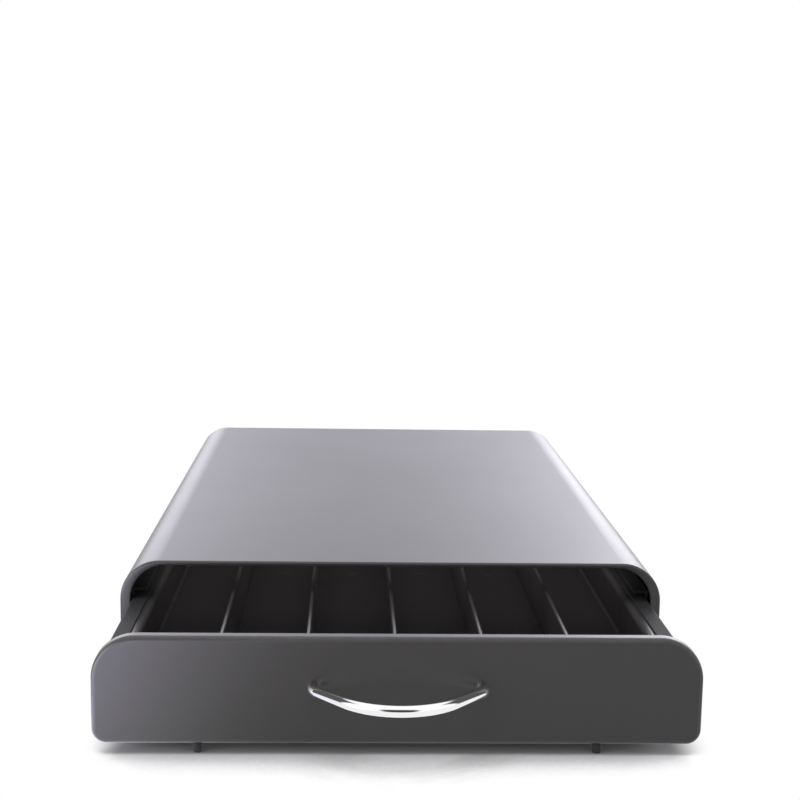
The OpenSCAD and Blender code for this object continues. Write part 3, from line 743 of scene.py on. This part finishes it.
def lip_width(points, outwards):
    """How far inwards each point of the arch meets the mouth's arch, whose corner is a circle:
    the flat distance to it on the straight stretches, and the way to the circle on the bend."""
    centre = np.array([half_w - mouth_lip - mouth_bend, deck_z - top_lip - mouth_bend])
    mirrored = np.abs(points[:, 0])
    away = np.stack([mirrored, points[:, 1]], 1) - centre
    facing = np.stack([np.abs(outwards[:, 0]), outwards[:, 1]], 1)
    along = (away * facing).sum(1)
    off_axis = np.clip((away ** 2).sum(1) - along ** 2, 0, mouth_bend ** 2 * 0.999)
    to_circle = along - np.sqrt(mouth_bend ** 2 - off_axis)
    on_side = away[:, 1] < 0
    on_deck = away[:, 0] < 0
    return np.where(on_side, mouth_lip, np.where(on_deck, top_lip, to_circle))


arch, arch_out = bent_line(
    [(-half_w + floor_flange, cover_foot), (-half_w, cover_foot), (-half_w, deck_z),
     (half_w, deck_z), (half_w, cover_foot), (half_w - floor_flange, cover_foot)],
    [0, low_bend, deck_bend, deck_bend, low_bend, 0])
floor_part = (np.abs(arch_out[:, 0]) < floor_slope) & (arch[:, 1] < cover_foot + low_bend)
plain = cover_section(top_lip, 2 * sheet, floor_flange_y)
base = cover_section(mouth_lip, rear_flange, mouth_y)
wider = cover_section(mouth_lip + 1, rear_flange, mouth_y) - base  # for one millimetre of lip
lips = lip_width(arch, arch_out)
full = base + (lips - mouth_lip)[:, None, None] * wider
first, last = np.flatnonzero(~floor_part)[[0, -1]]
order = np.concatenate([np.arange(first + 1), np.arange(first, last + 1),
                        np.arange(last, len(arch))])
is_floor = np.repeat([True, False, True], [first + 1, last + 1 - first, len(arch) - last])
sections = np.where(is_floor[:, None, None], plain, full[order])
rows = inset_rows(arch[order][:, None], arch_out[order][:, None], sections[..., 0],
                  sections[..., 1])
make_piece("cover_shell", [skin(rows)], "housing_cover")

# %% [markdown]
# ## The drawer front
#
# The front is a shallow pan pressed from sheet: a flat face, an edge rolled back on a small
# radius, a short rim, and the same again inside. Its corners are large above and small
# below. The outline is one ring of points, and each row of the skin is that ring moved inwards
# by a little and back by a little, as a bent line in (inwards, depth) says.

# %% Drawer front
front_y = front_low[1]
front_half = front_high[0]
front_top_bend, front_low_bend = 19.0, 6.5
front_roll, rim_round = 2.0, 0.5
face_margin = 5.0

outline, outline_out = bent_line(
    [(-front_half, cover_foot), (-front_half, front_high[2]), (front_half, front_high[2]),
     (front_half, cover_foot)],
    [front_low_bend, front_top_bend, front_top_bend, front_low_bend], closed=True)
pan_depth = front_high[1] - front_low[1]
pan_path, _ = bent_line(
    [(face_margin, 0), (0, 0), (0, pan_depth), (sheet, pan_depth), (sheet, sheet),
     (face_margin, sheet)], [0, front_roll, rim_round, rim_round, front_roll - sheet, 0])
rows = inset_rows(outline, outline_out, pan_path[:, :1], front_y + pan_path[:, 1:])
make_piece("front_panel", [skin(rows)], "drawer_front")

# %% [markdown]
# ## The handle
#
# The handle is one rod bent in a bow, with legs that splay at 45 degrees and feet that bend back
# to meet the front squarely. Its middle line is again a bent line, now in X and Y, and a circle
# is carried along it, standing square to the line at every step. The bow turns by 90 degrees, so
# its arc passes radius * (sqrt(2) - 1) inside its corner. A foot turns by 45 degrees, so its arc
# starts radius * tan(22.5 degrees) before its corner. Both together give the foot's radius.

# %% Handle
rod = (handle_high[2] - handle_low[2]) / 2
handle_z = (handle_high[2] + handle_low[2]) / 2
foot_x = handle_high[0] - rod
apex_y = handle_low[1] + rod
bow_bend = 33.0
foot_bend = bow_bend - (foot_x - (front_y - apex_y)) * (math.sqrt(2) + 1)
foot_corner = front_y - foot_bend * math.tan(math.radians(22.5))
bow_corner = apex_y - bow_bend * (math.sqrt(2) - 1)


def rod_along(line, across, radius, around=32):
    """Circles carried along a line in X and Y: line + radius * (cos * across + sin * up)."""
    angle = np.linspace(0, 2 * math.pi, around, endpoint=False)
    rows = np.empty((len(line), around, 3))
    rows[..., 0] = line[:, :1] + radius * np.cos(angle) * across[:, :1]
    rows[..., 1] = line[:, 1:] + radius * np.cos(angle) * across[:, 1:]
    rows[..., 2] = handle_z + radius * np.sin(angle)
    return rows


rod_line, rod_left = bent_line([(-foot_x, front_y), (-foot_x, foot_corner), (0, bow_corner),
                                (foot_x, foot_corner), (foot_x, front_y)],
                               [0, foot_bend, bow_bend, foot_bend, 0])
make_piece("handle_rod", [skin(rod_along(rod_line, rod_left, rod))], "handle_bow")

# %% [markdown]
# ## The tray
#
# The tray is folded from one blank: a floor, two sides with flanges turned out as runners, and
# two end walls. A fold has an inside radius of 1.5 mm, so its outside radius is that plus the
# sheet. The section follows the outer face from one runner round under the floor to the other.

# %% Drawer tray
fold = 1.5
lanes, lane_pitch = 6, 40.2
wall_x = lanes * lane_pitch / 2 + sheet
strip_thickness = 1.0
strip_low, strip_high = box_mm("right_slide_strip")
runner_z = strip_low[2] + strip_thickness
runner_half = tray_high[0]
floor_z, tray_front, tray_rear = tray_low[2], tray_low[1], tray_high[1]
floor_start, floor_end = tray_front + sheet + fold, tray_rear - sheet - fold
rear_wall_drop, overlap, runner_lead = 1.2, 0.1, 0.5
rear_wall_z = box_mm("lane_divider_1")[1][2] - rear_wall_drop
outer_fold = fold + sheet
low_side = runner_z - fold

runner_section = sheet_loop(
    [(-runner_half, runner_z), (-wall_x, runner_z), (-wall_x, floor_z), (wall_x, floor_z),
     (wall_x, runner_z), (runner_half, runner_z)], [0, fold, outer_fold, outer_fold, fold, 0])
plain_section = sheet_loop([(-wall_x, low_side), (-wall_x, floor_z), (wall_x, floor_z),
                            (wall_x, low_side)], [0, outer_fold, outer_fold, 0])
front_wall = sheet_loop([(tray_front, tray_high[2]), (tray_front, floor_z),
                         (floor_start + overlap, floor_z)], [0, outer_fold, 0])
rear_wall = sheet_loop([(floor_end - overlap, floor_z), (tray_rear, floor_z),
                        (tray_rear, rear_wall_z)], [0, outer_fold, 0])
runner_start = strip_low[1] - runner_lead
make_piece("tray_sheet", [
    skin(extrude(runner_section, runner_start, tray_rear - sheet)),
    skin(extrude(plain_section, floor_start, runner_start)),
    skin(extrude(front_wall, -wall_x, wall_x, along=0)),
    skin(extrude(rear_wall, -wall_x, wall_x, along=0))], "drawer_tray")

# %% [markdown]
# ## Lane dividers and stop bracket
#
# A divider is a strip whose top edge is doubled over, which makes it stiff and leaves no sharp
# edge for fingers. Three tabs stand in the tray's floor. The bracket is an angle under the tray
# that keeps the drawer from being pulled right out.

# %% Dividers and stop bracket
divider_thickness, hem, hem_bend, tight_fold = 1.0, 4.0, 1.0, 0.6
tab_length, tab_inset, tab_below = 16.0, 36.0, 0.15
tab_places = np.array([tray_front + tab_inset, (tray_front + tray_rear) / 2,
                       tray_rear - tab_inset])
for number in range(1, lanes):
    name = f"lane_divider_{number}"
    low, high = box_mm(name)
    middle = (number - lanes / 2) * lane_pitch
    web = divider_thickness / 2
    section = sheet_loop([(middle + web, floor_z + sheet), (middle + web, high[2]),
                          (middle - 3 * web, high[2]),
                          (middle - 3 * web, high[2] - hem - divider_thickness)],
                         [0, hem_bend, hem_bend, 0], divider_thickness)
    tabs = [block((middle - web, y - tab_length / 2, floor_z - tab_below),
                  (middle + web, y + tab_length / 2, floor_z + sheet)) for y in tab_places]
    make_piece(f"divider_sheet_{number}",
               [skin(extrude(section, low[1], high[1]))] + [skin(tab) for tab in tabs], name)

bracket_low, bracket_high = box_mm("stop_bracket")
bracket_section = sheet_loop(
    [(bracket_high[1], bracket_high[2]), (bracket_low[1], bracket_high[2]),
     (bracket_low[1], bracket_low[2])], [0, tight_fold + sheet, 0])
bracket_rows = extrude(bracket_section, bracket_low[0], bracket_high[0], along=0)
make_piece("stop_sheet", [skin(bracket_rows)], "stop_bracket")

# %% [markdown]
# ## Slide strips and guide rails
#
# Bare steel would scrape on the housing, so each runner wears a U section of nylon, and that
# slides in the channel of a plastic rail with a foot, a web and a rib. Such profiles come by the
# metre, so each is one closed outline carried along Y. The left pair is the right one mirrored.

# %% Slide strips and guide rails
rail_low, rail_high = box_mm("right_guide_rail")
rail_wall, slide_gap, web_gap, foot_step, rib_height = 1.6, 0.4, 0.6, 2, 14
strip_round, strip_edge, rail_round = 0.3, 0.8, 0.25
channel = np.array([strip_low[2] - slide_gap, strip_high[2] + slide_gap])
leg_in, web_in = rail_low[0] + foot_step, strip_high[0] + web_gap
web_out = web_in + rail_wall
foot_top = rail_low[2] + rail_wall
rib = rail_low[2] + rib_height
strip_corners = [(strip_low[0], strip_low[2]), (strip_high[0], strip_low[2]),
                 (strip_high[0], strip_high[2]), (strip_low[0], strip_high[2]),
                 (strip_low[0], runner_z + sheet), (runner_half, runner_z + sheet),
                 (runner_half, runner_z), (strip_low[0], runner_z)]
rail_corners = [
    (rail_low[0], rail_low[2]), (rail_high[0], rail_low[2]), (rail_high[0], foot_top),
    (web_out, foot_top), (web_out, rib), (rail_high[0], rib), (rail_high[0], rib + rail_wall),
    (web_out, rib + rail_wall), (web_out, rail_high[2]), (leg_in, rail_high[2]),
    (leg_in, channel[1]), (web_in, channel[1]), (web_in, channel[0]), (leg_in, channel[0]),
    (leg_in, channel[0] - rail_wall), (web_in, channel[0] - rail_wall), (web_in, foot_top),
    (rail_low[0], foot_top)]
strip_radii = [strip_round, strip_edge, strip_edge, strip_round, 0, 0, 0, 0]
strip_section, _ = bent_line(strip_corners, strip_radii, closed=True)
rail_section, _ = bent_line(rail_corners, [rail_round] * len(rail_corners), closed=True)
for side, hand in ((-1, "left"), (1, "right")):
    mirrored = np.array([side, 1])
    make_piece(f"{hand}_strip_profile",
               [skin(extrude(strip_section * mirrored, strip_low[1], strip_high[1]))],
               f"{hand}_slide_strip")
    make_piece(f"{hand}_rail_profile",
               [skin(extrude(rail_section * mirrored, rail_low[1], rail_high[1]))],
               f"{hand}_guide_rail")

# %% [markdown]
# ## Turned pieces and fasteners
#
# Feet, bumpers, glides, rivets and washers are turned: a profile of radius and height swept once
# round. A nut is turned too, but its radius is the smaller of a hexagon's and a cone's, and where
# the two meet they draw the curved chamfer that every nut has.

# %% Nuts
nut_trim, nut_over = 0.45, 0.56


def hexagon(flats, bevel, low, high):
    """A shape for turned: radius = min(flats / 2 / cos(angle to the nearest flat's middle), cone),
    where the cone narrows to half the flats' width at both ends. The bore is left as it is."""
    def shape(local):
        angle = np.arctan2(local[..., 1], local[..., 0])
        to_flat = (angle + math.pi / 6) % (math.pi / 3) - math.pi / 6
        radius = np.hypot(local[..., 0], local[..., 1])
        near_end = np.minimum(local[..., 2] - low, high - local[..., 2])
        cone = flats / 2 + near_end / bevel * flats / 2 * (1 / math.cos(math.pi / 6) - 1)
        limit = np.minimum(flats / 2 / np.cos(to_flat), cone)
        factor = np.where(radius > flats * nut_trim, limit / np.maximum(radius, 1e-6), 1.0)
        local[..., :2] *= factor[..., None]
        return local
    return shape


def nut(place, axis, flats=5.5, height=2.4, bore=1.6, bevel=0.35, lead=0.25):
    """A hexagon nut standing on its seat at place. Its rings reach past the flats, and the shape
    trims them. The lead is the slope at the mouth of its thread."""
    over = flats * nut_over
    rings = [(bore, 0), (flats / 2, 0), (over, 0.0), (over, bevel), (over, height - bevel),
             (over, height), (flats / 2, height), (bore + lead, height), (bore, height - lead),
             (bore, lead)]
    return skin(turned(rings, place, axis, 48, hexagon(flats, bevel, 0, height)), closed=True)


print("a nut has", len(nut((0, 0, 0), UP)[1]), "faces")

# %% [markdown]
# The cross in a screw is pressed into the head as a depth: full within half a width of either
# arm, with sloping walls. Discs with round rims serve for feet, glides and washers.

# %% Screws and discs
quarter = np.linspace(0, math.pi / 2, 5)
crown_share, crown_drop = 0.80, 0.22
cross_reach, cross_width, cross_depth, cross_seat = 0.58, 0.24, 0.5, 0.7


def crossed(arm, width, depth, seat):
    """A shape for turned: heights above the seat sink by depth * across * along, where both
    fall from 1 to 0 over a fifth of the arm's width."""
    def shape(local):
        near = np.minimum(abs(local[..., 0]), abs(local[..., 1]))
        far = np.maximum(abs(local[..., 0]), abs(local[..., 1]))
        across = np.clip((width / 2 - near) / (width / 5) + 0.5, 0, 1)
        along = np.clip((arm - far) / (width / 5) + 0.5, 0, 1)
        local[..., 2] -= np.where(local[..., 2] > seat, depth * across * along, 0)
        return local
    return shape


def pan_head(place, axis, head_r, head_h, shank_r, length, tip=0.4):
    """A pan-head screw whose head rises along the axis from its seat at place. Its crown is
    height = head_h * (1 - crown_drop * (radius / head_r) ** 2), out to crown_share."""
    radii = np.linspace(0, crown_share, 15) * head_r
    crown = np.stack([radii, head_h * (1 - crown_drop * (radii / head_r) ** 2)], 1)
    rim = [(head_r * 0.92, head_h * 0.80), (head_r * 0.985, head_h * 0.62), (head_r, head_h * 0.4),
           (head_r, 0), (shank_r, 0), (shank_r, -length + tip), (shank_r - tip, -length),
           (0, -length)]
    cross = crossed(head_r * cross_reach, head_r * cross_width, head_h * cross_depth,
                    head_h * cross_seat)
    return skin(turned(np.vstack([crown, rim]), place, axis, 48, cross))


def rounded_disc(radius, low, high, edge, bore=0.0):
    """Profile of a disc with rounded rims: from its axis or bore round the outside and back."""
    cosine, sine = edge * np.cos(quarter), edge * np.sin(quarter)
    lower = np.stack([radius - edge + sine, low + edge - cosine], 1)
    upper = np.stack([radius - edge + cosine, high - edge + sine], 1)
    return np.vstack([[(bore, low)], lower, upper, [(bore, high)]])


print("a screw has", len(pan_head((0, 0, 0), UP, 3, 2, 1, 6)[1]), "faces")

# %% [markdown]
# Rubber and nylon are moulded, so their rims are round all over. A foot has a recess that hides
# its screw. A bumper is a stud with a slightly narrower tip, which takes the knock of the closing
# drawer, and a glide is a button that is pressed up through the lower edge of the drawer front.

# %% Feet, bumpers and glides
foot_recess, foot_hole, foot_top_z, foot_edge, recess_edge = 3.5, 1.6, 5.0, 0.9, 0.2
foot_places = []
for name in ("front_left_foot", "front_right_foot", "rear_left_foot", "rear_right_foot"):
    low, high = box_mm(name)
    place = np.append((low[:2] + high[:2]) / 2, 0)
    foot_places.append(place)
    outside = rounded_disc((high[0] - low[0]) / 2, 0, high[2], foot_edge, foot_recess)[:-1]
    profile = np.vstack([outside, [(foot_hole, high[2]), (foot_hole, high[2] / 2),
                                   (foot_recess - recess_edge, high[2] / 2),
                                   (foot_recess, high[2] / 2 - recess_edge)]])
    make_piece(f"{name}_turned", [skin(turned(profile, place, UP, 48), closed=True)], name)

stem, stem_length, base_edge, taper, tip_edge = 1.9, 1.0, 0.3, 1.4, 0.6
body, shoulder_in, shoulder_z = 2.4, 0.15, 2.75
glide_edge, glide_stem, glide_barb, barb_tip = 0.8, 1.1, 1.7, 1.2
for hand in ("left", "right"):
    low, high = box_mm(f"{hand}_rear_bumper")
    radius = (high[0] - low[0]) / 2
    seat_y = high[1] - stem_length
    height = seat_y - low[1]
    tip = radius - taper
    crown = np.stack([tip - tip_edge + tip_edge * np.cos(quarter),
                      height - tip_edge + tip_edge * np.sin(quarter)], 1)
    profile = np.vstack([
        [(0, -stem_length), (stem, -stem_length), (stem, 0), (radius - base_edge, 0),
         (radius, base_edge), (radius, body), (radius - shoulder_in, shoulder_z)],
        crown, [(0, height)]])
    place = ((low[0] + high[0]) / 2, seat_y, (low[2] + high[2]) / 2)
    make_piece(f"{hand}_bumper_turned", [skin(turned(profile, place, FORWARD, 40))],
               f"{hand}_rear_bumper")
    low, high = box_mm(f"{hand}_front_glide")
    glide_r = (high[0] - low[0]) / 2
    under = front_low[2]
    profile = np.vstack([rounded_disc(glide_r, 0, under, glide_edge)[:-3],
                         [(glide_r, under), (glide_stem, under), (glide_stem, under + sheet),
                          (glide_barb, under + sheet), (barb_tip, high[2]), (0, high[2])]])
    place = ((low[0] + high[0]) / 2, (low[1] + high[1]) / 2, 0)
    make_piece(f"{hand}_glide_turned", [skin(turned(profile, place, UP, 32))],
               f"{hand}_front_glide")

# %% [markdown]
# Fasteners are bought parts, so one shape of each kind is made and placed again and again, and
# those of one kind stay together in one piece. Most of their places follow from the boxes of
# the measured screws, nuts and rivets, less the radius of a head.

# %% Screws, nuts, washers and rivets
screw_head, screw_head_h, screw_r = 2.9, 1.6, 1.5
screw_low, screw_high = box_mm("base_screws")
screw_x = screw_high[0] - screw_head
mid_places = [(side * screw_x, y, 0) for side in (-1, 1)
              for y in (screw_low[1] + screw_head, screw_high[1] - screw_head)]
foot_seat, floor_seat = foot_top_z / 2, cover_foot
tip_z = screw_high[2]
for name, spots, seat in (("foot_screws", foot_places, foot_seat),
                          ("base_screws", mid_places, floor_seat)):
    make_piece(f"{name}_turned", [pan_head((x, y, seat), DOWN, screw_head, screw_head_h, screw_r,
                                           tip_z - seat) for x, y, _ in spots], name)
nut_z = box_mm("frame_nuts")[0][2]
make_piece("frame_nuts_turned", [nut((x, y, nut_z), UP)
                                 for x, y, _ in foot_places + mid_places], "frame_nuts")

stud_x, stud_zs = 104.0, (20.0, 39.0)
wall_y = tray_front + sheet
stud_spots = [(side * stud_x, z) for side in (-1, 1) for z in stud_zs]
make_piece("front_nuts_turned", [nut((x, wall_y, z), BACK) for x, z in stud_spots], "front_nuts")
stud_r, stud_tip_r, stud_end, stud_length = 1.5, 1.2, 4.3, 4.6
stud_profile = [(0, 0), (stud_r, 0), (stud_r, stud_end), (stud_tip_r, stud_length),
                (0, stud_length)]
make_piece("front_studs", [skin(turned(stud_profile, (x, tray_front, z), BACK, 24))
                           for x, z in stud_spots], "drawer_front", stands_for=[])
washer_low, washer_high = box_mm("handle_washers")
washer_t = washer_high[1] - washer_low[1]
washer_r = (washer_high[2] - washer_low[2]) / 2
washer_edge, washer_bore = 0.15, 1.4
washer_profile = rounded_disc(washer_r, 0, washer_t, washer_edge, washer_bore)
handle_spots = [(side * foot_x, wall_y, handle_z) for side in (-1, 1)]
make_piece("washers_turned", [skin(turned(washer_profile, place, BACK, 40), closed=True)
                              for place in handle_spots], "handle_washers")
handle_head, handle_shank, handle_screw_length = 2.5, 1.2, 6.2
make_piece("handle_screws_turned", [
    pan_head((x, y + washer_t, z), BACK, handle_head, screw_head_h, handle_shank,
             handle_screw_length)
    for x, y, z in handle_spots], "handle_screws")

rivet_high = box_mm("back_panel_rivets")[1]
dome, dimple, dimple_foot, shank_length = 3.0, 0.9, 0.8, 3.4
side_rivet_zs, top_rivet_xs = (16, 34), (-80, 0, 80)
dome_h = rivet_high[1] - back_y
rivet_spots = ([(side * (rivet_high[0] - dome), z) for side in (-1, 1) for z in side_rivet_zs]
               + [(x, rivet_high[2] - dome) for x in top_rivet_xs])
dome_r = np.linspace(dome, dimple, 9)
dome_profile = np.vstack([[(0, -shank_length), (screw_r, -shank_length), (screw_r, 0), (dome, 0)],
                          np.stack([dome_r, dome_h * (1 - (dome_r / dome) ** 2)], 1)[1:],
                          [(dimple_foot, dome_h * 0.75), (0, dome_h * 0.7)]])
make_piece("rivet_domes", [skin(turned(dome_profile, (x, back_y, z), BACK, 32))
                           for x, z in rivet_spots], "back_panel_rivets")
rivet_inset, rivet_head, rivet_shank = 8, 2.2, 1.2
upper_head, lower_head, grip = 0.6, 0.5, 2 * sheet
bracket_rivet_y = bracket_low[1] + rivet_inset
head_profile = [(0, -upper_head), (1.9, -upper_head), (rivet_head, -0.3), (rivet_head, 0),
                (rivet_shank, 0), (rivet_shank, grip), (rivet_head, grip),
                (rivet_head, grip + 0.3), (1.8, grip + lower_head), (0, grip + lower_head)]
make_piece("stop_rivets_turned", [
    skin(turned(head_profile, (lane * lane_pitch, bracket_rivet_y, floor_z + sheet), DOWN, 24))
    for lane in (-1.5, -0.5, 0.5, 1.5)], "stop_bracket_rivets")

# %% [markdown]
# The new surfaces dress the measured parts and must not reach past them, so the last cell
# prints the box round the measured parts. A box round the new surfaces may be a hair smaller,
# as dimpled rivets make it at the rear, but never larger.

# %% The size of the measured parts
for corner_name, corner in zip(("low", "high"), cad_box):
    print("frame", corner_name, [round(v, 4) for v in corner])
